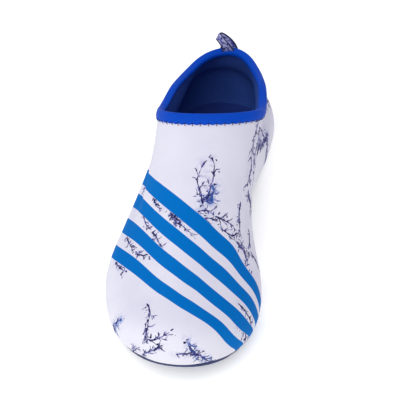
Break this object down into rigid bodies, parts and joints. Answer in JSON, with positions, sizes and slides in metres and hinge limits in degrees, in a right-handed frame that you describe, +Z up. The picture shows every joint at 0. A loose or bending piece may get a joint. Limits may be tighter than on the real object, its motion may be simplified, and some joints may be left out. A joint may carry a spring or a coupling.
{
  "type": "water shoe",
  "caption": "Low slip-on water shoe for the right foot: printed stretch-fabric upper with bound collar and heel pull loop on a thin ribbed rubber sole.",
  "frame": {"origin": "on the floor under the middle of the heel, at the heel's flat spot", "axes": "+Z up, -Y from the heel to the toe, +X to the inner (medial) side of the right foot"},
  "size_m": [0.0905, 0.2449, 0.086],
  "materials": {
    "upper_fabric": "printed stretch knit, matte, pale lilac-white with blue stripes",
    "binding_tape": "woven elastic tape, matte royal blue",
    "sole_rubber": "moulded rubber, matte navy",
    "sock_liner": "foam covered with brushed knit, navy",
    "loop_ribbon": "printed ribbon, matte, dark edges"
  },
  "bodies": {
    "root": {"upper": "upper_fabric", "collar_binding": "binding_tape", "outsole": "sole_rubber", "insole": "sock_liner", "pull_loop": "loop_ribbon"}
  },
  "joints": []
}
